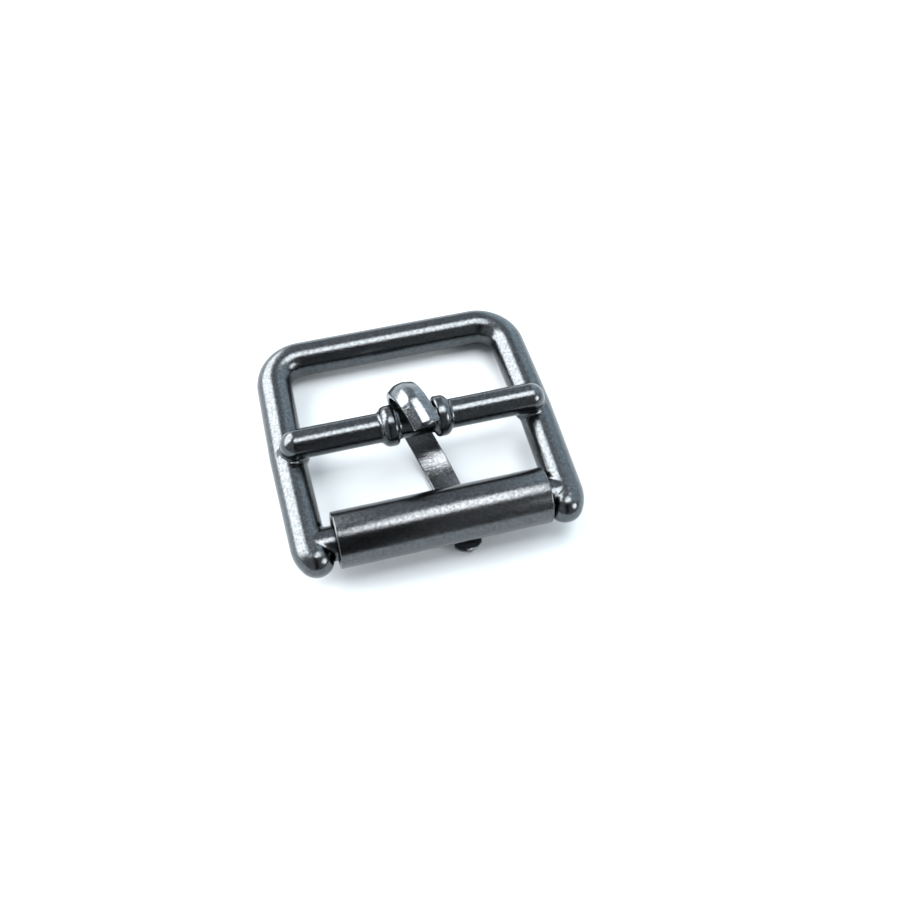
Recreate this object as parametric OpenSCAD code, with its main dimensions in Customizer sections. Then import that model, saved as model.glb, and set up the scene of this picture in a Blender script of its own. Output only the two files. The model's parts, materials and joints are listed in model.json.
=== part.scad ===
// Roller buckle lying on its front: a cast frame of round rod, a loose tube roller
// and a curled tongue. Lengths are in millimetres.

/* [Frame] */
// Strap width that passes between the side bars at the roller end
strap_w = 20; // [16:0.5:30]
// Thickness of the round rod of the frame
rod_d = 3.2; // [2.8:0.1:3.6]
// Distance from the axle to the middle of the far bar
far_y = 19.6; // [18.5:0.1:24]
// How much each side bar leans in towards the far bar, in degrees
lean = 2.4; // [1:0.1:4]
// Radius of the far corners, at the middle of the rod
corner_r = 2.9; // [2:0.1:4]

/* [Near corners] */
// How far the near corners stand out in front of the axle, flush with the roller
horn_y = 1.1; // [0.8:0.05:1.3]
// Radius of the near corners, at the middle of the rod
horn_r = 1.7; // [1.7:0.1:2]
// Thickness of the axle bar under the roller
axle_d = 3.1; // [2.6:0.1:3.1]

/* [Centre bar] */
// Distance from the axle to the centre bar
bar_y = 9; // [8.6:0.1:10]
// Height of the middle of the centre bar over the frame's underside
bar_z = 4; // [3.8:0.1:4.3]
// Thickness of the centre bar
bar_d = 2.7; // [2.4:0.1:2.8]
// Thickness of the two collars
collar_d = 3.7; // [3.3:0.1:3.8]
// Width of a collar
collar_w = 1.5; // [1.2:0.1:2]
// Space between the collars, where the tongue hangs
collar_gap = 3.4; // [3.2:0.1:4]

/* [Roller] */
// Outer diameter of the roller
roller_d = 5; // [4.9:0.1:5.2]
// Wall of the roller tube
roller_wall = 0.45; // [0.4:0.05:0.5]
// Length of the roller
roller_l = 19; // [16:0.1:19.2]

/* [Tongue] */
// Thickness of the tongue strip
strip_t = 0.8; // [0.6:0.05:0.9]
// Width of the tongue strip
strip_w = 2.5; // [2:0.1:2.5]
// Radius inside the curl
curl_r = 3.2; // [3.1:0.05:3.4]
// How far the middle of the curl lies in front of the centre bar
curl_fore = 0.75; // [0.6:0.05:0.85]
// How far the middle of the curl lies above the centre bar
curl_up = 0.4; // [0.3:0.05:0.5]
// How far the free end of the curl wraps past the top, in degrees
curl_end = 30; // [20:1:60]
// Angle at which the shank leaves the curl, below level, in degrees
shank_dip = 32; // [30:1:36]
// Angle by which the curl sits askew on the bar, in degrees
askew = 17; // [0:1:18]
// Angle by which the tongue leans sideways, in degrees
roll = 9; // [0:1:10]
// Radius of the sideways bow of the tongue, seen from above
bow_r = 33; // [28:1:60]
// How far the tongue hangs right of the buckle's middle
tongue_x = 0.15; // [0:0.05:0.2]
// Length of the tongue from the bar to its tip, seen from above
reach = 11.5; // [10.5:0.1:11.6]

/* [Hidden] */
$fn = 96;

rod_r = rod_d / 2;
bar_r = bar_d / 2;
side_x = strap_w / 2 + rod_r;

// the side bars bend inwards at the centre bar
knee_r = 12;
knee_y = bar_y + knee_r * sin(lean);
far_run = (far_y - knee_y - corner_r * (1 - sin(lean))) / cos(lean);
far_x = side_x - knee_r * (1 - cos(lean)) - far_run * sin(lean) - corner_r * cos(lean);

// bends are a trace thicker than the straight rods, which run a little way into them
swell = 0.02;
lap = 0.1;

// the centre bar's ends stand on the inner slopes of the side bars
leg_x = side_x - 0.8;
leg_r = bar_r + 0.02;
foot_r = bar_r + 0.15;

// the collars' rims are broken by a bevel
collar_lip = (collar_d - bar_d) / 2;
collar_bevel = 0.3;

// the roller is pushed up until its bore nearly meets the axle's underside
run_gap = 0.06;
roller_r = roller_d / 2;
bore_r = roller_r - roller_wall;
roller_z = rod_r + bore_r - axle_d / 2 - run_gap;
roller_x = 0.2;

// the tongue's side view, measured from the middle of the centre bar
shank_u = curl_r * sin(shank_dip) - curl_fore;
shank_v = curl_up - curl_r * cos(shank_dip);

// the shank's top edge passes just under the roller
edge_x = strip_w / 2 - bow_r + sqrt(bow_r * bow_r - bar_y * bar_y);
level_v = (roller_z - roller_r - run_gap - bar_z - edge_x * sin(roll)) / cos(roll);
shank_r = (shank_v - level_v) / (1 - cos(shank_dip));
level_u = shank_u - shank_r * sin(shank_dip);

// outline from above: the bow, and the round that ends it
tip_r = strip_w * 0.6;
bow_a = (reach - tip_r) / bow_r * 180 / PI;
back_a = 15;
wide = 14;
tall = 24;

// a point of the tongue in the flat frame, as [y, z]
function tongue_at(x, u, v) =
    let (z = x * sin(roll) + v * cos(roll), side = x * cos(roll) - v * sin(roll))
    [bar_y + side * sin(askew) + u * cos(askew), bar_z + z];

// the lower left edge of the shank, where its bend has turned by the angle a
function low_edge(a) =
    let (r = shank_r + strip_t + swell / 2,
         u = level_u + r * sin(a),
         v = level_v + shank_r - r * cos(a),
         edge_r = bow_r - strip_w / 2)
    tongue_at(sqrt(edge_r * edge_r - u * u) - bow_r, u, v);

// the tilt at which the far bar's ends and a point rest on one level
rest_r = rod_r + swell;
function tilt_at(p) =
    let (span = [far_y, rod_r] - p)
    atan2(span[1], span[0]) - asin(rest_r / norm(span));

// the buckle lies on its far bar and on the bend of the tongue
tilt = max([for (a = [0:0.25:shank_dip]) tilt_at(low_edge(a))]);
lift = rest_r - rod_r * cos(tilt) + far_y * sin(tilt);
back_y = cos(tilt) * far_y + sin(tilt) * rod_r + rest_r;
front_y = sin(tilt) * rod_r - cos(tilt) * horn_y - rest_r;

// from the flat frame to its place on the table
module lie() {
    translate([0, -(back_y + front_y) / 2, lift]) rotate([-tilt, 0, 0]) children();
}

// a straight rod along +Y, and what follows at its end
module straight(l) {
    translate([0, -lap, 0]) rotate([-90, 0, 0]) cylinder(r = rod_r, h = l + 2 * lap);
    translate([0, l, 0]) children();
}

// a rod along +Y that bends towards -X, and what follows at its end
module bend(r, a) {
    translate([-r, 0, 0]) {
        rotate_extrude(angle = a) translate([r, 0]) circle(rod_r + swell);
        rotate([0, 0, a]) translate([r, 0, 0]) children();
    }
}

// half a ball that closes a rod along +Z
module dome(r) {
    rotate_extrude() intersection() {
        circle(r);
        square(r);
    }
}

module mirrored() {
    children();
    mirror([1, 0, 0]) children();
}

// the right side bar from its middle to the far corner
module far_half() {
    translate([side_x, bar_y, rod_r])
        bend(knee_r, lean) straight(far_run) bend(corner_r, 90 - lean);
}

module far_bar() {
    translate([0, far_y, rod_r]) rotate([0, 90, 0])
        cylinder(r = rod_r, h = 2 * (far_x + lap), center = true);
}

// the near half of the right side bar, with the corner that turns to the roller
module near_half() {
    translate([side_x, bar_y, rod_r]) mirror([0, 1, 0])
        straight(bar_y + horn_y - horn_r) bend(horn_r, 90);
}

module axle() {
    translate([0, 0, rod_r]) rotate([0, 90, 0])
        cylinder(d = axle_d, h = 2 * side_x, center = true);
}

module collar() {
    rotate_extrude() polygon([
        [0, 0], [bar_r + collar_lip / 3, 0], [bar_r + collar_lip, collar_bevel],
        [bar_r + collar_lip, collar_w - collar_bevel],
        [bar_r + collar_lip / 3, collar_w], [0, collar_w]
    ]);
}

// the centre bar ends in a dome over a short leg, which stands on the side bar
module centre_bar() {
    translate([0, bar_y, bar_z]) rotate([0, 90, 0])
        cylinder(r = bar_r, h = 2 * leg_x, center = true);
    mirrored() {
        translate([collar_gap / 2, bar_y, bar_z]) rotate([0, 90, 0]) collar();
        translate([leg_x, bar_y, bar_z]) dome(leg_r);
        translate([leg_x, bar_y, rod_r]) cylinder(r = leg_r, h = bar_z - rod_r);
        translate([leg_x, bar_y, rod_r]) cylinder(r = foot_r, h = rod_r - 0.1);
    }
}

module frame() {
    color("dimgray") lie() {
        mirrored() {
            far_half();
            near_half();
        }
        far_bar();
        axle();
        centre_bar();
    }
}

module roller() {
    color("slategray") lie() translate([roller_x, 0, roller_z]) rotate([0, 90, 0])
        difference() {
            cylinder(r = roller_r, h = roller_l, center = true);
            cylinder(r = bore_r, h = roller_l + 1, center = true);
        }
}

// a wide bent sheet with the given inner radius, from angle a0 to a1 in the side
// view, measured from +Y towards +Z, and its faces set out by a trace
module bent_sheet(r, a0, a1, out) {
    rotate([90, 0, 90]) rotate([0, 0, a0]) rotate_extrude(angle = a1 - a0)
        translate([r + strip_t / 2, 0]) square([strip_t + 2 * out, wide], center = true);
}

// the sheet of the tongue, bent to its side view
module tongue_sheet() {
    turn = lap / shank_r * 180 / PI;
    translate([0, -curl_fore, curl_up])
        bent_sheet(curl_r, shank_dip - 90, 90 + curl_end, swell);
    translate([0, level_u, level_v + shank_r])
        bent_sheet(shank_r, -90, shank_dip - 90 + turn, swell / 2);
    translate([-wide / 2, -reach - 1, level_v - strip_t])
        cube([wide, level_u + reach + 1 + lap, strip_t]);
}

// the column that stands over the strip's bowed outline
module tongue_outline() {
    translate([-bow_r, 0, 0]) rotate([0, 0, -bow_a]) {
        rotate_extrude(angle = bow_a + back_a) translate([bow_r, 0])
            square([strip_w, tall], center = true);
        translate([bow_r, 0, 0]) intersection() {
            cylinder(r = tip_r, h = tall, center = true);
            cube([strip_w - 2 * swell, 2 * tip_r + 1, tall], center = true);
        }
    }
}

module tongue() {
    color("silver") lie() translate([tongue_x, bar_y, bar_z])
        rotate([0, 0, askew]) rotate([0, -roll, 0]) intersection() {
            tongue_sheet();
            tongue_outline();
        }
}

frame();
roller();
tongue();
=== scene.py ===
import json
import math

import bmesh
import bpy
from bpy.props import FloatProperty, FloatVectorProperty, PointerProperty
from mathutils import Matrix, Quaternion, Vector


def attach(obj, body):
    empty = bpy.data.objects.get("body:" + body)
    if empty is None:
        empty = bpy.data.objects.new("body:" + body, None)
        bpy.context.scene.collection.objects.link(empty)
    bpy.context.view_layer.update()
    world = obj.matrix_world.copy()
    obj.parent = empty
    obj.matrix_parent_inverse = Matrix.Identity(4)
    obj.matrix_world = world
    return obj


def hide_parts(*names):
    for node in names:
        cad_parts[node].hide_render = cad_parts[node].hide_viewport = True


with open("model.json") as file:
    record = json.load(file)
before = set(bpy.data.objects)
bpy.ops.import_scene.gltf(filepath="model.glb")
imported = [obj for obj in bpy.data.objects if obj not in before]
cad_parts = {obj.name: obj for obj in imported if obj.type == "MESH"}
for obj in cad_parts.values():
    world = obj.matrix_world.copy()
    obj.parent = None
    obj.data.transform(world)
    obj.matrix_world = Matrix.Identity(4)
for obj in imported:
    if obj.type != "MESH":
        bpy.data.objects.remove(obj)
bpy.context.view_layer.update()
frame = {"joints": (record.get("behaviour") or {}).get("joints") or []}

bl_info = {
    "name": "Roller Buckle",
    "version": (1, 0, 0),
    "blender": (4, 5, 0),
    "location": "View3D > Sidebar > Buckle",
    "description": "Builds a cast roller buckle with a loose tube roller and a curled tongue",
    "category": "Add Mesh",
}

JOINTS = {joint["name"]: joint for joint in frame["joints"]}
QUARTER_TURN = math.pi / 2
ALONG_X = (0, QUARTER_TURN, 0)
RIGHTWARDS = Vector((1, 0, 0))

# How finely round shapes are cut
ROUND_SIDES = 96
BALL_RINGS = 48
TUBE_SIDES = 128

# Points closer than the first are merged, and places closer than the second count as one
MERGE = 1e-7
SAME_PLACE = 1e-6


# Properties

def size(name, description, default):
    """A length that a user may change."""
    return FloatProperty(name=name, description=description, default=default, min=0,
                         unit="LENGTH", precision=5)


def turn(name, description, degrees):
    """An angle that a user may change."""
    return FloatProperty(name=name, description=description, default=math.radians(degrees),
                         subtype="ANGLE")


def share(name, description, default):
    """A number from 0 to 1 that a user may change."""
    return FloatProperty(name=name, description=description, default=default, min=0, max=1,
                         subtype="FACTOR")


def paint(name, description, default):
    """A colour that a user may change."""
    return FloatVectorProperty(name=name, description=description, default=default, min=0, max=1,
                               size=3, subtype="COLOR")


class FrameSizes(bpy.types.PropertyGroup):
    """Sizes of the cast frame, lying flat, with the origin straight below the axle's middle"""

    strap_width: size("Strap width", "Clear width between the side bars", 0.020)
    rod: size("Rod", "Thickness of the round rod of the ring", 0.0032)
    far_reach: size("Far bar", "Distance from the axle to the far bar", 0.0196)
    lean: turn("Lean", "How much each side bar leans in towards the far bar", 2.4)
    far_corner: size("Far corners", "Radius of the far corners, at the middle of the rod", 0.0029)
    end_reach: size("Near end reach", "How far the ball ends stand in front of the axle", 0.00115)
    end_inset: size("Near end inset", "How far the ball ends stand in from the side bars", 0.0004)
    end_turn: turn("Near end turn", "Angle by which the side bars turn inwards before their ends", 35)
    end_face: size("End face", "From the ball ends' flat faces to the side bars' inner sides", 0.0001)
    axle: size("Axle", "Thickness of the axle bar under the roller", 0.0031)
    bar_reach: size("Centre bar", "Distance from the axle to the centre bar", 0.009)
    bar_height: size("Bar height", "Height of the middle of the centre bar", 0.004)
    bar: size("Bar", "Thickness of the centre bar", 0.0027)
    collar: size("Collars", "Thickness of the two collars", 0.0037)
    collar_width: size("Collar width", "Width of a collar", 0.0015)
    collar_gap: size("Collar gap", "Space between the collars", 0.0034)
    leg_inset: size("Leg inset", "How far the domes stand inside the side bars' middle", 0.0008)
    leg: size("Legs", "Thickness of the legs under the domes", 0.0020)
    leg_length: size("Leg length", "Length of a leg along the centre bar", 0.0024)
    leg_outset: size("Leg outset", "How far the legs stand outside the domes' middle", 0.00022)
    foot: size("Foot", "How far a leg's foot stands out round it", 0.00015)


class RollerSizes(bpy.types.PropertyGroup):
    """Sizes of the roller tube"""

    outer: size("Outer diameter", "Outer diameter of the roller", 0.005)
    wall: size("Wall", "Thickness of the tube's sheet", 0.00045)
    length: size("Length", "Length of the roller", 0.019)
    rim: size("Rim", "Roundness of the tube's ends", 0.00014)


class TongueSizes(bpy.types.PropertyGroup):
    """Sizes of the tongue, a crowned wire curled round the centre bar"""

    width: size("Width", "Width of the wire", 0.0025)
    edge: size("Edge", "Thickness of the wire at its left edge", 0.00047)
    ridge: size("Ridge", "Half the width of the wire's flat back", 0.0004)
    left_slope: turn("Left slope", "Slope from the left edge up to the flat back", 21)
    back_slope: turn("Back slope", "Slope of the flat back", 5)
    right_slope: turn("Right slope", "Slope from the flat back down to the right edge", 27)
    edge_round: size("Edge roundness", "Roundness of the wire's edges", 0.00012)
    back_round: size("Back roundness", "Roundness between the wire's slopes", 0.0002)
    curl: size("Curl", "Radius inside the curl", 0.00328)
    curl_fore: size("Curl fore", "How far the curl's middle lies in front of the bar", 0.00076)
    curl_up: size("Curl up", "How far the curl's middle lies above the bar", 0.00062)
    crook: size("Crook", "Radius inside the tighter bend near the top of the curl", 0.00135)
    crook_start: turn("Crook start", "Where the tighter bend begins, from level at the far side", 72)
    crook_turn: turn("Crook turn", "Angle of the tighter bend", 27)
    free_bend: size("Free end bend", "Radius of the flat free end", 0.018)
    free_turn: turn("Free end turn", "Angle of the flat free end", 7)
    dip: turn("Dip", "Angle below level at which the shank leaves the curl", 51)
    askew: turn("Askew", "Angle by which the curl sits askew on the bar", 17)
    roll: turn("Roll", "Angle by which the tongue leans sideways", 9)
    shank_bend: size("Shank bend", "Radius of the bend above the shank's last part", 0.007)
    fall: turn("Fall", "Angle below level at which the shank runs on to its tip", 0.5)
    bow: size("Bow", "Radius of the sideways bow of the shank", 0.034)
    aside: size("Aside", "How far the tongue hangs right of the middle", 0.00013)
    reach: size("Reach", "Length from the bar to the tip, seen from above", 0.0118)
    run_gap: size("Running gap", "Space from shank to roller, and from roller to axle", 0.00006)


class Finish(bpy.types.PropertyGroup):
    """Colours and gloss of the metals"""

    gunmetal: paint("Gunmetal", "Colour of the frame's plating", (0.083, 0.0905, 0.0955))
    tube: paint("Tube", "Colour of the roller's plating", (0.083, 0.088, 0.092))
    steel: paint("Steel", "Colour of the tongue", (0.128, 0.137, 0.145))
    gloss: share("Roughness", "Roughness of the plating", 0.19)
    brushed: share("Brushed roughness", "Roughness of the tongue", 0.19)


class Studio(bpy.types.PropertyGroup):
    """The camera, the floor and the soft light"""

    azimuth: turn("Azimuth", "Side from which the camera looks, from the front to the left", 24.252)
    elevation: turn("Elevation", "Height of the camera over the table", 63.657)
    camera_roll: turn("Camera roll", "Turn of the camera about its own line of sight", 10.26)
    distance: size("Distance", "From the camera to the point that it looks at", 0.106104)
    aim: FloatVectorProperty(name="Aim", description="Point that the camera looks at", size=3,
                             default=(0.002832, -0.002409, 0.0025), subtype="TRANSLATION")
    lens: FloatProperty(name="Lens", description="Focal length", default=46.74, unit="CAMERA")
    floor: paint("Floor", "Colour of the floor", (0.588, 0.628, 0.65))
    light: FloatProperty(name="Light", description="Strength of the window and the lamps",
                         default=11.1, min=0)


# Expressions of shader nodes

class Wire:
    """A socket in an expression, where each operator adds a Math node."""

    def __init__(self, net, socket):
        self.net = net
        self.socket = socket

    def math(self, operation, *others):
        return self.net.math(operation, self, *others)

    def __add__(self, other):
        return self.math("ADD", other)

    def __radd__(self, other):
        return self.net.math("ADD", other, self)

    def __sub__(self, other):
        return self.math("SUBTRACT", other)

    def __rsub__(self, other):
        return self.net.math("SUBTRACT", other, self)

    def __mul__(self, other):
        return self.math("MULTIPLY", other)

    def __rmul__(self, other):
        return self.net.math("MULTIPLY", other, self)

    def __truediv__(self, other):
        return self.math("DIVIDE", other)

    def __rtruediv__(self, other):
        return self.net.math("DIVIDE", other, self)

    def between(self, low, high, soft):
        """1 where the value lies from low to high, fading out over soft on both sides."""
        return self.rises(low - soft, low) * (1 - self.rises(high, high + soft))

    def rises(self, low, high):
        """A smooth step from 0 at low to 1 at high."""
        return self.net.node("ShaderNodeMapRange", {"interpolation_type": "SMOOTHSTEP"},
                             {"Value": self, "From Min": low, "From Max": high})


# Places of the Mix node's two colours among its inputs, and of the mixed one among its outputs
FIRST_COLOUR = 6
SECOND_COLOUR = 7
MIXED_COLOUR = 2


class Net:
    """The nodes of one material or world."""

    def __init__(self, owner):
        owner.use_nodes = True
        self.tree = owner.node_tree
        self.tree.nodes.clear()

    def node(self, kind, settings=None, sockets=None, out=0):
        """Adds a node: its settings first, then values or links of its sockets."""
        made = self.tree.nodes.new(kind)
        for name, value in (settings or {}).items():
            setattr(made, name, value)
        for name, value in (sockets or {}).items():
            socket = made.inputs[name]
            if isinstance(value, Wire):
                self.tree.links.new(value.socket, socket)
            else:
                socket.default_value = value
        if not made.outputs:
            return made
        return Wire(self, made.outputs[out])

    def math(self, operation, *values):
        return self.node("ShaderNodeMath", {"operation": operation}, dict(enumerate(values)))

    def axes(self, vector):
        """The three numbers of a vector."""
        first = self.node("ShaderNodeSeparateXYZ", {}, {"Vector": vector})
        return [Wire(self, socket) for socket in first.socket.node.outputs]

    def mix(self, factor, first, second):
        """A colour between two others."""
        return self.node("ShaderNodeMix", {"data_type": "RGBA"},
                         {"Factor": factor, FIRST_COLOUR: first, SECOND_COLOUR: second}, MIXED_COLOUR)

    def blend(self, factor, first, second):
        """A shader between two others."""
        return self.node("ShaderNodeMixShader", {}, {0: factor, 1: first, 2: second})


def rgba(colour):
    return (*colour, 1)


def scaled(colour, factor):
    return tuple(channel * factor for channel in colour)


# Tools of the bench

def rest():
    """Leaves edit mode and deselects all objects."""
    if bpy.context.object and bpy.context.object.mode != "OBJECT":
        bpy.ops.object.mode_set(mode="OBJECT")
    bpy.ops.object.select_all(action="DESELECT")


def take(piece):
    """Makes the piece the only selected object, and the active one."""
    rest()
    piece.select_set(True)
    bpy.context.view_layer.objects.active = piece


def started(name):
    """The primitive that was just added, with its place in its mesh."""
    piece = bpy.context.object
    piece.name = name
    piece.data.name = name
    bpy.ops.object.transform_apply(location=True, rotation=True, scale=True)
    return piece


def edit_all():
    bpy.ops.object.mode_set(mode="EDIT")
    bpy.ops.mesh.select_all(action="SELECT")


def pick(piece, kind, test):
    """In edit mode, selects the vertices, edges or faces that pass the test. None is an error."""
    bpy.ops.mesh.select_mode(type={"verts": "VERT", "edges": "EDGE", "faces": "FACE"}[kind])
    bpy.ops.mesh.select_all(action="DESELECT")
    mesh = bmesh.from_edit_mesh(piece.data)
    mesh.normal_update()
    chosen = [item for item in getattr(mesh, kind) if test(item)]
    if not chosen:
        raise RuntimeError("nothing to select on " + piece.name)
    for item in chosen:
        item.select_set(True)
    bmesh.update_edit_mesh(piece.data)


def pull(step):
    """Extrudes the selection."""
    bpy.ops.mesh.extrude_region_move(TRANSFORM_OT_translate={"value": step})


def swing(centre, angle, axis, steps):
    """Spins the selection about an axis, the way a right-hand screw turns."""
    bpy.ops.mesh.spin(steps=steps, angle=-angle, center=centre, axis=axis)


def finish_mesh():
    """In edit mode, merges doubles, turns the faces outwards and goes back to object mode."""
    bpy.ops.mesh.select_mode(type="VERT")
    bpy.ops.mesh.select_all(action="SELECT")
    bpy.ops.mesh.remove_doubles(threshold=MERGE)
    bpy.ops.mesh.select_all(action="SELECT")
    bpy.ops.mesh.normals_make_consistent(inside=False)
    bpy.ops.object.mode_set(mode="OBJECT")


def modify(piece, kind, **settings):
    """Adds a modifier to the piece and applies it."""
    take(piece)
    modifier = piece.modifiers.new(kind.title(), kind)
    for name, value in settings.items():
        setattr(modifier, name, value)
    bpy.ops.object.modifier_apply(modifier=modifier.name)


def joined(name, pieces):
    """One object from several."""
    take(pieces[0])
    for piece in pieces[1:]:
        piece.select_set(True)
    bpy.ops.object.join()
    pieces[0].name = name
    pieces[0].data.name = name
    return pieces[0]


def rod(name, radius, start, end, sides=ROUND_SIDES):
    """A closed round rod from one point to another."""
    rest()
    start = Vector(start)
    span = Vector(end) - start
    bpy.ops.mesh.primitive_cylinder_add(
        vertices=sides, radius=radius, depth=span.length, location=start + span / 2,
        rotation=span.to_track_quat("Z", "Y").to_euler())
    return started(name)


# Places, first in the flat frame and then as the buckle lies

def flat_bar(frame_sizes):
    return Vector((0, frame_sizes.bar_reach, frame_sizes.bar_height))


def roller_height(frame_sizes, roller_sizes, gap):
    """Height of the roller's axis: its bore nearly meets the axle's underside."""
    bore = roller_sizes.outer / 2 - roller_sizes.wall
    return frame_sizes.rod / 2 + bore - frame_sizes.axle / 2 - gap


def lying(scene):
    """From the flat frame to the buckle's place on the table, found from its two joints."""
    bar = Vector(JOINTS["tongue_swing"]["pos_m"])
    roller = Vector(JOINTS["roller_spin"]["pos_m"])
    flat = flat_bar(scene.frame_sizes)
    height = roller_height(scene.frame_sizes, scene.roller_sizes, scene.tongue_sizes.run_gap)
    rise = math.atan2(flat.z - height, flat.y)
    tilt = rise - math.atan2(bar.z - roller.z, bar.y - roller.y)
    return Matrix.Translation(bar) @ Matrix.Rotation(-tilt, 4, "X") @ Matrix.Translation(-flat)


def lay_down(piece, scene, local=Matrix()):
    """Puts the piece on the table, with its place in its mesh."""
    take(piece)
    piece.matrix_world = lying(scene) @ local
    bpy.ops.object.transform_apply(location=True, rotation=True, scale=True)


def dress(piece, body, node, material):
    """Gives the piece its metal and says what it stands for."""
    piece.data.materials.clear()
    piece.data.materials.append(material)
    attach(piece, body)
    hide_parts(node)


# Metals

# Waves of the clouds and of the grain to a metre
CLOUD_SCALE = 4200
GRAIN_SCALE = 11000
BRUSHED_SCALE = 5000

# How the brushed grain is drawn out along the tongue's width
BRUSHED_STRETCH = (0.12, 1, 1)

# The grain's height is one at this scale, and a coarser grain is as much higher
EVEN_SCALE = 13000
CLOUD_HEIGHT = 0.7

# The colour's share in the darkest and in the palest clouds, and the noise between the two
DARK_CLOUD = 0.62
PALE_CLOUD = 1.28
CLOUD_FADE = (0.3, 0.7)

# How much the roughness changes with the clouds
GLOSS_SPREAD = 0.2


def metal(name, colour, roughness, grain_scale=GRAIN_SCALE, stretch=(1, 1, 1), along=0):
    """Plated metal with faint clouds, fine pits and an uneven gloss, its grain drawn out if need be."""
    material = bpy.data.materials.new(name)
    net = Net(material)
    place = net.node("ShaderNodeTexCoord", out="Object")
    drawn = net.node("ShaderNodeMapping", {}, {
        "Vector": place, "Rotation": (0, 0, -along), "Scale": stretch})
    clouds = net.node("ShaderNodeTexNoise", {}, {
        "Vector": place, "Scale": CLOUD_SCALE, "Detail": 5, "Roughness": 0.75})
    grain = net.node("ShaderNodeTexNoise", {}, {
        "Vector": drawn, "Scale": grain_scale, "Detail": 2, "Roughness": 0.6})
    tint = net.mix(clouds.rises(*CLOUD_FADE), rgba(scaled(colour, DARK_CLOUD)),
                   rgba(scaled(colour, PALE_CLOUD)))
    relief = grain * (EVEN_SCALE / grain_scale) + clouds * CLOUD_HEIGHT
    bump = net.node("ShaderNodeBump", {}, {
        "Strength": 0.6, "Distance": 0.00001, "Height": relief})
    shader = net.node("ShaderNodeBsdfPrincipled", {}, {
        "Base Color": tint, "Metallic": 1.0,
        "Roughness": roughness + (clouds - 0.5) * GLOSS_SPREAD, "Normal": bump})
    net.node("ShaderNodeOutputMaterial", {}, {"Surface": shader})
    return material


# The frame

# Radius at which the side bars bend inwards
KNEE = 0.012

# Steps of the far corners, of the bend at the knee, and of the turn at the near end
CORNER_STEPS = 32
KNEE_STEPS = 6
END_STEPS = 16

# Roundness of a collar's inner and outer rim
INNER_RIM = 0.00035
OUTER_RIM = 0.0007

# From the top of the ring down to the top of a leg's foot
FOOT_DROP = 0.0001

# Width of the cells that melt the casting's parts into one skin, and how often it is smoothed
CELL = 0.00012
SMOOTHINGS = 8


def ring_half(s):
    """Half of the ring, swept from the middle of the far bar to the side bar's near end."""
    r = s.rod / 2
    side_x = s.strap_width / 2 + r
    down = Vector((math.sin(s.lean), -math.cos(s.lean), 0))
    knee_y = s.bar_reach + KNEE * math.sin(s.lean)
    knee_x = side_x - KNEE * (1 - math.cos(s.lean))
    run = (s.far_reach - s.far_corner * (1 - math.sin(s.lean)) - knee_y) / math.cos(s.lean)
    far_x = knee_x - run * math.sin(s.lean) - s.far_corner * math.cos(s.lean)
    clockwise = (0, 0, -1)

    rest()
    bpy.ops.mesh.primitive_circle_add(vertices=ROUND_SIDES, radius=r,
                                      location=(0, s.far_reach, r), rotation=ALONG_X)
    half = started("ring")
    edit_all()
    pull((far_x, 0, 0))
    swing((far_x, s.far_reach - s.far_corner, r), QUARTER_TURN - s.lean, clockwise, CORNER_STEPS)
    pull(down * run)
    swing((side_x - KNEE, s.bar_reach, r), s.lean, clockwise, KNEE_STEPS)
    bend = s.end_inset / (1 - math.cos(s.end_turn))
    bend_y = bend * math.sin(s.end_turn) - s.end_reach
    pull((0, bend_y - s.bar_reach, 0))
    swing((side_x - bend, bend_y, r), s.end_turn, clockwise, END_STEPS)
    bpy.ops.mesh.edge_face_add()
    finish_mesh()
    return half


def near_end(s, side):
    """The ball in which a side bar ends, with a flat face towards the roller."""
    r = s.rod / 2
    rest()
    bpy.ops.mesh.primitive_uv_sphere_add(
        segments=ROUND_SIDES, ring_count=BALL_RINGS, radius=r,
        location=(side * (s.strap_width / 2 + r - s.end_inset), -s.end_reach, r))
    ball = started("near_end")
    edit_all()
    bpy.ops.mesh.bisect(plane_co=(side * (s.strap_width / 2 - s.end_face), 0, 0),
                        plane_no=(-side, 0, 0), clear_outer=True, use_fill=True)
    finish_mesh()
    return ball


def collar_on_bar(s, side):
    """One collar, a disc with bevelled rims."""
    inner = Vector((side * s.collar_gap / 2, s.bar_reach, s.bar_height))
    outer = inner + RIGHTWARDS * side * s.collar_width
    piece = rod("collar", s.collar / 2, inner, outer)
    edit_all()
    for rim, roundness in ((inner, INNER_RIM), (outer, OUTER_RIM)):
        pick(piece, "edges",
             lambda edge: all(abs(vert.co.x - rim.x) < SAME_PLACE for vert in edge.verts))
        bpy.ops.mesh.bevel(offset=roundness, segments=8, affect="EDGES")
    finish_mesh()
    return piece


def bar_end(s, side):
    """The dome, leg and foot in which the centre bar ends over a side bar."""
    r = s.bar / 2
    leg_x = side * (s.strap_width / 2 + s.rod / 2 - s.leg_inset)
    top = Vector((leg_x, s.bar_reach, s.bar_height))
    level = Vector((leg_x + side * s.leg_outset, s.bar_reach, s.rod / 2))
    rest()
    bpy.ops.mesh.primitive_uv_sphere_add(segments=ROUND_SIDES, ring_count=BALL_RINGS, radius=r,
                                         location=top)
    dome = started("dome")
    leg = rod("leg", s.leg / 2, level, level + Vector((0, 0, s.bar_height - s.rod / 2)))
    foot = rod("foot", s.leg / 2 + s.foot, level, level + Vector((0, 0, s.rod / 2 - FOOT_DROP)))
    for part in (leg, foot):
        take(part)
        edit_all()
        bpy.ops.transform.resize(value=(s.leg_length / s.leg, 1, 1), center_override=level)
        rest()
    return [dome, leg, foot]


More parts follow.
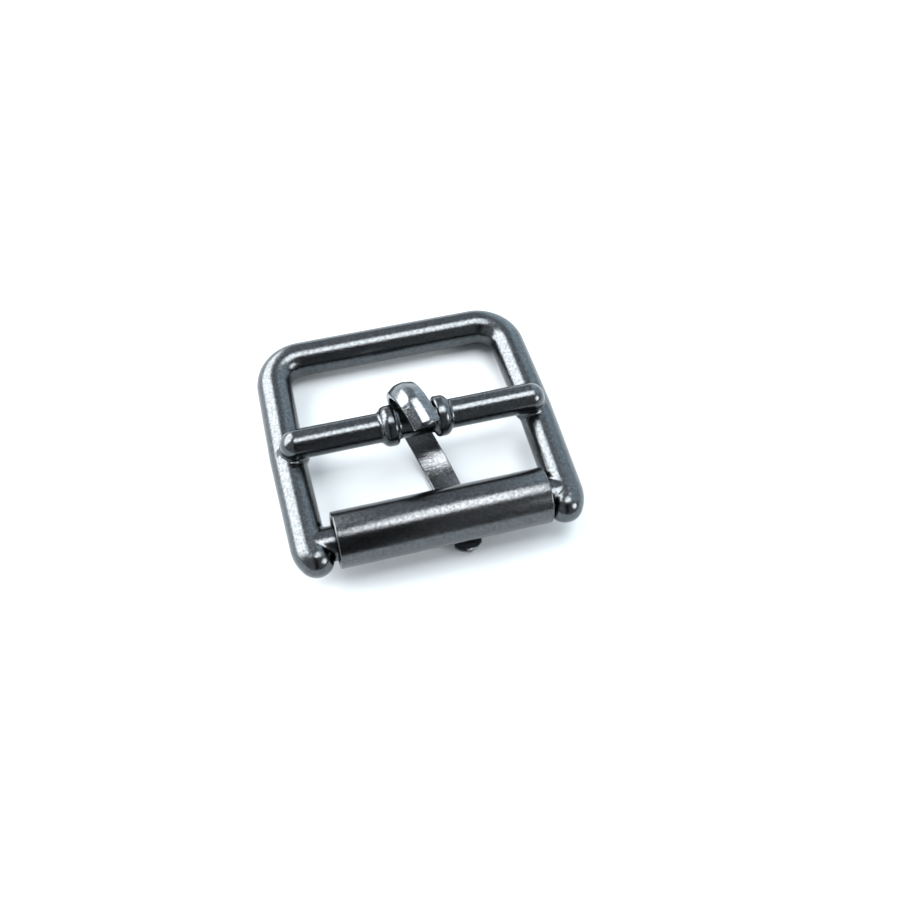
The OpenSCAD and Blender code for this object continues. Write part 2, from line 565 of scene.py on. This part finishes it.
class OBJECT_OT_buckle_frame(bpy.types.Operator):
    """Builds the cast frame: the ring, the axle, and the raised centre bar with its collars"""

    bl_idname = "object.buckle_frame"
    bl_label = "Buckle Frame"
    bl_options = {"REGISTER", "UNDO"}

    def execute(self, context):
        s = context.scene.frame_sizes
        side_x = s.strap_width / 2 + s.rod / 2
        leg_x = side_x - s.leg_inset
        ring = ring_half(s)
        modify(ring, "MIRROR", merge_threshold=SAME_PLACE)
        across = [
            rod("axle", s.axle / 2, (-side_x, 0, s.rod / 2), (side_x, 0, s.rod / 2)),
            rod("bar", s.bar / 2, (-leg_x, s.bar_reach, s.bar_height),
                (leg_x, s.bar_reach, s.bar_height)),
        ]
        at_sides = []
        for side in (-1, 1):
            at_sides.append(near_end(s, side))
            at_sides.append(collar_on_bar(s, side))
            at_sides.extend(bar_end(s, side))
        casting = joined("buckle_frame", [ring] + across + at_sides)
        take(casting)
        bpy.ops.object.duplicate()
        true_shape = bpy.context.object
        modify(casting, "REMESH", mode="VOXEL", voxel_size=CELL, use_smooth_shade=True)
        modify(casting, "SMOOTH", factor=0.5, iterations=SMOOTHINGS)
        modify(casting, "SHRINKWRAP", target=true_shape, wrap_method="NEAREST_SURFACEPOINT",
               wrap_mode="OUTSIDE")
        bpy.data.objects.remove(true_shape)
        lay_down(casting, context.scene)
        take(casting)
        bpy.ops.object.shade_smooth()
        finish = context.scene.finish
        dress(casting, "frame", "frame",
              metal("gunmetal plating", finish.gunmetal, finish.gloss))
        return {"FINISHED"}


# The roller

# How far an end's face points along X, and the angle past which an edge is a rim
END_ON = 0.9
RIM_ANGLE = 1


class OBJECT_OT_buckle_roller(bpy.types.Operator):
    """Builds the roller: a sheet metal tube with rounded ends"""

    bl_idname = "object.buckle_roller"
    bl_label = "Buckle Roller"
    bl_options = {"REGISTER", "UNDO"}

    def execute(self, context):
        s = context.scene.roller_sizes
        height = roller_height(context.scene.frame_sizes, s, context.scene.tongue_sizes.run_gap)
        aside = JOINTS["roller_spin"]["pos_m"][0]
        middle = Vector((aside, 0, height))
        half = Vector((s.length / 2, 0, 0))
        piece = rod("roller_tube", s.outer / 2, middle - half, middle + half, TUBE_SIDES)
        edit_all()
        pick(piece, "faces", lambda face: abs(face.normal.x) > END_ON)
        bpy.ops.mesh.inset(thickness=s.wall)
        bpy.ops.mesh.bridge_edge_loops()
        pick(piece, "edges",
             lambda edge: len(edge.link_faces) == 2 and edge.calc_face_angle() > RIM_ANGLE)
        bpy.ops.mesh.bevel(offset=s.rim, segments=4, affect="EDGES")
        finish_mesh()
        lay_down(piece, context.scene)
        take(piece)
        bpy.ops.object.shade_smooth_by_angle(angle=math.radians(35))
        finish = context.scene.finish
        dress(piece, "roller", "roller",
              metal("tube plating", finish.tube, finish.gloss))
        return {"FINISHED"}


# The tongue

# Radius of the round tip as a share of the wire's width, and the steps that it is drawn in
TIP = 0.6
TIP_STEPS = 12

# Where the tip begins, as a share of its arc, and the thickness there as a share of the wire's
TIP_START = 0.04
TIP_THIN = 0.45

# Steps of a straight run, of the shank's bend, of the curl, of the crook and of the free end
RUN_STEPS = 16
BEND_STEPS = 24
CURL_STEPS = 64
CROOK_STEPS = 16
FREE_STEPS = 8

# The free end's last face as a share of the wire's, across and in its thickness
FREE_FACE = (0.92, 0.85, 0.85)


def wire_end(s, level):
    """The face that the tongue is drawn from: flat above, and three slopes below."""
    half = s.width / 2
    crest = s.edge + (half - s.ridge) * math.tan(s.left_slope)
    brow = crest - 2 * s.ridge * math.tan(s.back_slope)
    rest()
    bpy.ops.mesh.primitive_plane_add(size=s.width, location=(0, 0, level - half),
                                     rotation=(QUARTER_TURN, 0, 0))
    piece = started("tongue_wire")
    edit_all()
    cuts = [(-half, s.edge, -s.left_slope), (-s.ridge, crest, s.back_slope),
            (s.ridge, brow, s.right_slope)]
    for x, depth, slope in cuts:
        bpy.ops.mesh.select_all(action="SELECT")
        bpy.ops.mesh.bisect(plane_co=(x, 0, level - depth), clear_outer=True,
                            plane_no=(math.sin(slope), 0, -math.cos(slope)))
    inside = half - s.edge_round
    for test, roundness in ((lambda vert: abs(vert.co.x) < inside, s.back_round),
                            (lambda vert: abs(vert.co.x) > inside, s.edge_round)):
        pick(piece, "verts", test)
        bpy.ops.mesh.bevel(offset=roundness, segments=4, affect="VERTICES")
    bpy.ops.mesh.select_mode(type="FACE")
    bpy.ops.mesh.select_all(action="SELECT")
    return piece


def shank_run(scene):
    """Height of the shank's last part, its dip, length of its slope, and where its bend begins,
    all turned so that the last part is level."""
    s = scene.tongue_sizes
    f = scene.frame_sizes
    roller = scene.roller_sizes
    height = roller_height(f, roller, s.run_gap)
    edge_x = s.width / 2 - s.bow + math.sqrt(s.bow * s.bow - f.bar_reach * f.bar_reach)
    under = height - roller.outer / 2 - s.run_gap - f.bar_height
    at_roller = (under - edge_x * math.sin(s.roll)) / math.cos(s.roll)
    below = s.curl_up - at_roller - (f.bar_reach - s.curl_fore) * math.tan(s.fall)
    level = s.curl_up - below * math.cos(s.fall)
    dip = s.dip - s.fall
    leave_y = s.curl * math.sin(dip) - s.curl_fore
    leave_z = s.curl_up - s.curl * math.cos(dip)
    slope = (leave_z - level - s.shank_bend * (1 - math.cos(dip))) / math.sin(dip)
    start = leave_y - slope * math.cos(dip) - s.shank_bend * math.sin(dip)
    return level, dip, slope, start


def spoke(angle):
    """The direction at an angle in the side view, from the far side towards the top."""
    return Vector((0, math.cos(angle), math.sin(angle)))


def draw_tip(s, level):
    """Draws the wire from its thinned, round tip to its full width, and gives the tip's length."""
    tip = s.width * TIP
    whole = math.asin(s.width / 2 / tip)
    angles = [whole * (TIP_START + (1 - TIP_START) * step / TIP_STEPS)
              for step in range(TIP_STEPS + 1)]
    narrow = math.sin(angles[0]) / math.sin(whole)
    bpy.ops.transform.resize(value=(narrow, 1, TIP_THIN), center_override=(0, 0, level))
    for before, angle in zip(angles, angles[1:]):
        pull((0, tip * (math.cos(before) - math.cos(angle)), 0))
        bpy.ops.transform.resize(
            value=(math.sin(angle) / math.sin(before), 1, TIP_THIN ** (-1 / TIP_STEPS)),
            center_override=(0, 0, level))
    return tip * (1 - math.cos(whole))


def draw_run(step):
    """Draws the selection out along a straight run, in equal steps."""
    for _ in range(RUN_STEPS):
        pull(step)


def draw_curl(s, dip):
    """Swings the selection round the curl, its tighter bend and its flat free end."""
    middle = Vector((0, -s.curl_fore, s.curl_up))
    turned = s.crook_start - s.fall
    swing(middle, turned + QUARTER_TURN - dip, RIGHTWARDS, CURL_STEPS)
    middle += spoke(turned) * (s.curl - s.crook)
    swing(middle, s.crook_turn, RIGHTWARDS, CROOK_STEPS)
    turned += s.crook_turn
    middle += spoke(turned) * (s.crook - s.free_bend)
    swing(middle, s.free_turn, RIGHTWARDS, FREE_STEPS)
    pull(spoke(turned + s.free_turn + QUARTER_TURN) * s.edge_round)
    bpy.ops.transform.resize(value=FREE_FACE)


def bow_sideways(piece, s):
    """Bends what lies in front of the bar along an arc, seen from above."""
    for vert in piece.data.vertices:
        if vert.co.y < 0:
            out = s.bow + vert.co.x
            around = -vert.co.y / s.bow
            vert.co.x = out * math.cos(around) - s.bow
            vert.co.y = -out * math.sin(around)


def hanging(scene):
    """The tongue's place on the centre bar: askew, leaning, and with its shank's fall."""
    s = scene.tongue_sizes
    f = scene.frame_sizes
    place = Matrix.Translation((s.aside, f.bar_reach, f.bar_height))
    place = place @ Matrix.Rotation(s.askew, 4, "Z") @ Matrix.Rotation(-s.roll, 4, "Y")
    pivot = Matrix.Translation((0, -s.curl_fore, s.curl_up))
    return place @ pivot @ Matrix.Rotation(s.fall, 4, "X") @ pivot.inverted()


class OBJECT_OT_buckle_tongue(bpy.types.Operator):
    """Builds the tongue: a crowned wire, curled round the bar and bowed under the roller"""

    bl_idname = "object.buckle_tongue"
    bl_label = "Buckle Tongue"
    bl_options = {"REGISTER", "UNDO"}

    def execute(self, context):
        s = context.scene.tongue_sizes
        level, dip, slope, start = shank_run(context.scene)
        piece = wire_end(s, level)
        bpy.ops.transform.translate(value=(0, -s.reach, 0))
        tip_length = draw_tip(s, level)
        draw_run(Vector((0, (start + s.reach - tip_length) / RUN_STEPS, 0)))
        swing((0, start, level + s.shank_bend), dip, RIGHTWARDS, BEND_STEPS)
        draw_run(spoke(dip) * slope / RUN_STEPS)
        draw_curl(s, dip)
        finish_mesh()
        take(piece)
        edit_all()
        bpy.ops.mesh.fill_holes(sides=0)
        finish_mesh()
        bow_sideways(piece, s)
        lay_down(piece, context.scene, hanging(context.scene))
        take(piece)
        bpy.ops.object.shade_smooth_by_angle(angle=math.radians(40))
        modify(piece, "WEIGHTED_NORMAL", keep_sharp=True)
        finish = context.scene.finish
        dress(piece, "tongue", "tongue",
              metal("brushed steel", finish.steel, finish.brushed, BRUSHED_SCALE, BRUSHED_STRETCH,
                    s.askew))
        return {"FINISHED"}


# The stage

FLOOR_WIDTH = 6

# Width of the camera's film, in millimetres
FILM_WIDTH = 36

# Nothing is seen closer or further than this
NEAREST = 0.001
FURTHEST = 20

# Lower than this, a direction's height no longer counts
LOWEST = 0.03

# The overhead lamp: how far right and how far back of straight up, for its height
LAMP_RIGHT = (-0.12, 0.50)
LAMP_BACK = (-0.09, 0.42)
LAMP_EDGE = 0.04

# The lamp's slanted back edge, and the distances between which it fades
SLANT = 1.2
SLANT_FADE = (0.22, 0.28)

# The window's edges: the direction into the window, and how softly it fades there
WINDOW_EDGES = (
    ((-0.98, -0.10, -0.157), 0.05),
    ((-0.669, 0.515, -0.536), 0.03),
    ((0, 1, -0.21), 0.04),
)
WINDOW_SILL = (0.06, 0.1)

# The small lamp in front: its direction, and how its light fades round it
SPOT = (0.70, -0.51, 0.50)
SPOT_FADE = (0.968, 0.98)

# The dim room between the lamps, as the metals mirror it
DIM_STRENGTH = 1.72
FRONT = (0.03, 0.03, 0.033)
RIGHT_OF_FRONT = (0.22, 0.23, 0.24)
RIGHT_OF_FRONT_FADE = (0.08, 0.25)
BACK = (0.42, 0.47, 0.52)
BACK_FADE = (-0.12, 0.12)

# Its other walls: the colour, and from where to where it fades in along X and along Y
WALLS = (
    ((0.85, 1.0, 1.12), (0.3, 0.6), (-0.3, 0.1)),
    ((1.2, 1.47, 1.65), (0.25, 0.5), (0.55, 0.68)),
    ((0.35, 0.36, 0.38), (-0.2, -0.4), (0.1, -0.1)),
)

# What the camera sees past the floor
BEHIND_FLOOR = (0.93, 0.94, 0.95)


def camera_back(s):
    """Direction from the object to the camera."""
    level = math.cos(s.elevation)
    return Vector((-math.sin(s.azimuth) * level, -math.cos(s.azimuth) * level, math.sin(s.elevation)))


def towards(place, direction):
    """How far a place, given by its three numbers, lies in a direction."""
    return place[0] * direction[0] + place[1] * direction[1] + place[2] * direction[2]


def lamps(place, right, back):
    """1 towards the overhead lamp, the window at the left and the back, and the small lamp."""
    overhead = right.between(*LAMP_RIGHT, LAMP_EDGE) * back.between(*LAMP_BACK, LAMP_EDGE)
    overhead = overhead * (1 - (back - right * SLANT).rises(*SLANT_FADE))
    window = place[2].rises(*WINDOW_SILL)
    for direction, fade in WINDOW_EDGES:
        window = window * towards(place, direction).rises(-fade, fade)
    spot = towards(place, SPOT).rises(*SPOT_FADE)
    return overhead.math("MAXIMUM", window).math("MAXIMUM", spot)


def room_colour(net, place, right):
    """The dim walls round the buckle, from the front to the back and the sides."""
    x, y, _ = place
    front = net.mix(right.rises(*RIGHT_OF_FRONT_FADE), rgba(FRONT), rgba(RIGHT_OF_FRONT))
    room = net.mix(y.rises(*BACK_FADE), front, rgba(BACK))
    for colour, right_fade, back_fade in WALLS:
        room = net.mix(x.rises(*right_fade) * y.rises(*back_fade), room, rgba(colour))
    return room


def studio_light(s):
    """A dim room with a window, an overhead lamp and a small one, as the metals mirror it."""
    world = bpy.data.worlds.new("studio light")
    bpy.context.scene.world = world
    net = Net(world)
    place = net.axes(net.node("ShaderNodeTexCoord", out="Generated"))
    above = place[2].math("MAXIMUM", LOWEST)
    right = place[0] / above
    back = place[1] / above
    lit = net.node("ShaderNodeBackground", {}, {"Color": (1, 1, 1, 1), "Strength": s.light})
    dim = net.node("ShaderNodeBackground", {}, {
        "Color": room_colour(net, place, right), "Strength": DIM_STRENGTH})
    seen = net.node("ShaderNodeBackground", {}, {"Color": rgba(BEHIND_FLOOR), "Strength": 1.0})
    mirrored = net.blend(lamps(place, right, back), dim, lit)
    direct = net.node("ShaderNodeLightPath", out="Is Camera Ray")
    net.node("ShaderNodeOutputWorld", {}, {"Surface": net.blend(direct, mirrored, seen)})


class OBJECT_OT_buckle_stage(bpy.types.Operator):
    """Sets the floor, the light and the camera"""

    bl_idname = "object.buckle_stage"
    bl_label = "Buckle Stage"
    bl_options = {"REGISTER", "UNDO"}

    def execute(self, context):
        s = context.scene.studio
        rest()
        bpy.ops.mesh.primitive_plane_add(size=FLOOR_WIDTH)
        floor = started("floor")
        paper = bpy.data.materials.new("pale floor")
        net = Net(paper)
        shader = net.node("ShaderNodeBsdfPrincipled", {}, {
            "Base Color": rgba(s.floor), "Roughness": 0.8, "Specular IOR Level": 0.2})
        net.node("ShaderNodeOutputMaterial", {}, {"Surface": shader})
        floor.data.materials.append(paper)
        studio_light(s)

        back = camera_back(s)
        rest()
        bpy.ops.object.camera_add(location=Vector(s.aim) + back * s.distance)
        camera = bpy.context.object
        camera.name = "camera"
        sight = (-back).to_track_quat("-Z", "Y") @ Quaternion((0, 0, 1), s.camera_roll)
        camera.rotation_euler = sight.to_euler()
        camera.data.lens = s.lens
        camera.data.sensor_width = FILM_WIDTH
        camera.data.clip_start = NEAREST
        camera.data.clip_end = FURTHEST
        context.scene.camera = camera
        context.scene.view_settings.view_transform = "Standard"
        return {"FINISHED"}


class VIEW3D_PT_buckle(bpy.types.Panel):
    """Lists the pieces of the buckle"""

    bl_label = "Roller Buckle"
    bl_space_type = "VIEW_3D"
    bl_region_type = "UI"
    bl_category = "Buckle"

    def draw(self, context):
        for operator in OPERATORS:
            self.layout.operator(operator.bl_idname)


OPERATORS = (OBJECT_OT_buckle_stage, OBJECT_OT_buckle_frame, OBJECT_OT_buckle_roller,
             OBJECT_OT_buckle_tongue)
GROUPS = {"frame_sizes": FrameSizes, "roller_sizes": RollerSizes, "tongue_sizes": TongueSizes,
          "finish": Finish, "studio": Studio}


def register():
    for name, group in GROUPS.items():
        bpy.utils.register_class(group)
        setattr(bpy.types.Scene, name, PointerProperty(type=group))
    for shown in OPERATORS + (VIEW3D_PT_buckle,):
        bpy.utils.register_class(shown)


def unregister():
    for shown in reversed(OPERATORS + (VIEW3D_PT_buckle,)):
        bpy.utils.unregister_class(shown)
    for name, group in reversed(GROUPS.items()):
        delattr(bpy.types.Scene, name)
        bpy.utils.unregister_class(group)


def main():
    register()
    bpy.ops.object.buckle_stage()
    bpy.ops.object.buckle_frame()
    bpy.ops.object.buckle_roller()
    bpy.ops.object.buckle_tongue()
    rest()


if __name__ == "__main__":
    main()
